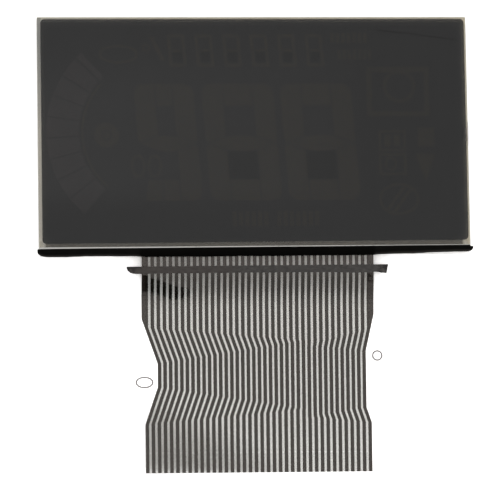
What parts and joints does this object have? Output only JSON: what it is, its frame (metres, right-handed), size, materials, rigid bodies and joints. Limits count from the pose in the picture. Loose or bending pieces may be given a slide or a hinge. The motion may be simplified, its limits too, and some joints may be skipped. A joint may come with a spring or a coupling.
{
  "type": "lcd screen",
  "caption": "Flat segment display cell of two glass panes with dark polarisers, a black bead along its contact ledge and a clear heat-seal ribbon of printed traces.",
  "frame": {"origin": "centre of the rear polariser's back face, on the surface that the display lies on, which is also the centre of the rear glass's outline", "axes": "+Z out of the viewing face, +Y to the top of the picture and away from the ribbon, +X to the right of the picture"},
  "size_m": [0.0907, 0.0947, 0.0026],
  "materials": {
    "polariser_film": "smooth dark film, neutral grey, satin gloss",
    "glass": "clear cut glass, edges ground",
    "seal_epoxy": "beige epoxy seen through the glass",
    "liquid_crystal": "thin fluid layer, sealed in",
    "silver_paste": "cured conductive paste, sealed in",
    "clear_resin": "cured clear resin drop",
    "black_silicone": "cured black bead, soft sheen",
    "clear_film": "clear polyester film, glossy",
    "cover_coat": "clear insulating coat",
    "bonding_coat": "hazy heat-seal coat",
    "graphite_ink": "printed warm dark grey ink",
    "dark_tape": "thin dark grey tape"
  },
  "bodies": {
    "root": {"rear_polariser": "polariser_film", "rear_glass": "glass", "perimeter_seal": "seal_epoxy", "liquid_crystal": "liquid_crystal", "crossover_dot_left": "silver_paste", "crossover_dot_right": "silver_paste", "end_seal": "clear_resin", "front_glass": "glass", "front_polariser": "polariser_film", "ledge_bead": "black_silicone", "ledge_bond": "bonding_coat", "tail_bond": "bonding_coat", "ribbon_cover_coat": "cover_coat", "ribbon_film": "clear_film", "cross_tape": "dark_tape", "trace_01": "graphite_ink", "trace_02": "graphite_ink", "trace_03": "graphite_ink", "trace_04": "graphite_ink", "trace_05": "graphite_ink", "trace_06": "graphite_ink", "trace_07": "graphite_ink", "trace_08": "graphite_ink", "trace_09": "graphite_ink", "trace_10": "graphite_ink", "trace_11": "graphite_ink", "trace_12": "graphite_ink", "trace_13": "graphite_ink", "trace_14": "graphite_ink", "trace_15": "graphite_ink", "trace_16": "graphite_ink", "trace_17": "graphite_ink", "trace_18": "graphite_ink", "trace_19": "graphite_ink", "trace_20": "graphite_ink", "trace_21": "graphite_ink", "trace_22": "graphite_ink", "trace_23": "graphite_ink", "trace_24": "graphite_ink", "trace_25": "graphite_ink", "trace_26": "graphite_ink", "trace_27": "graphite_ink", "trace_28": "graphite_ink", "trace_29": "graphite_ink", "trace_30": "graphite_ink", "trace_31": "graphite_ink", "trace_32": "graphite_ink", "trace_33": "graphite_ink", "trace_34": "graphite_ink", "trace_35": "graphite_ink", "trace_36": "graphite_ink", "trace_37": "graphite_ink", "trace_38": "graphite_ink"}
  },
  "joints": []
}
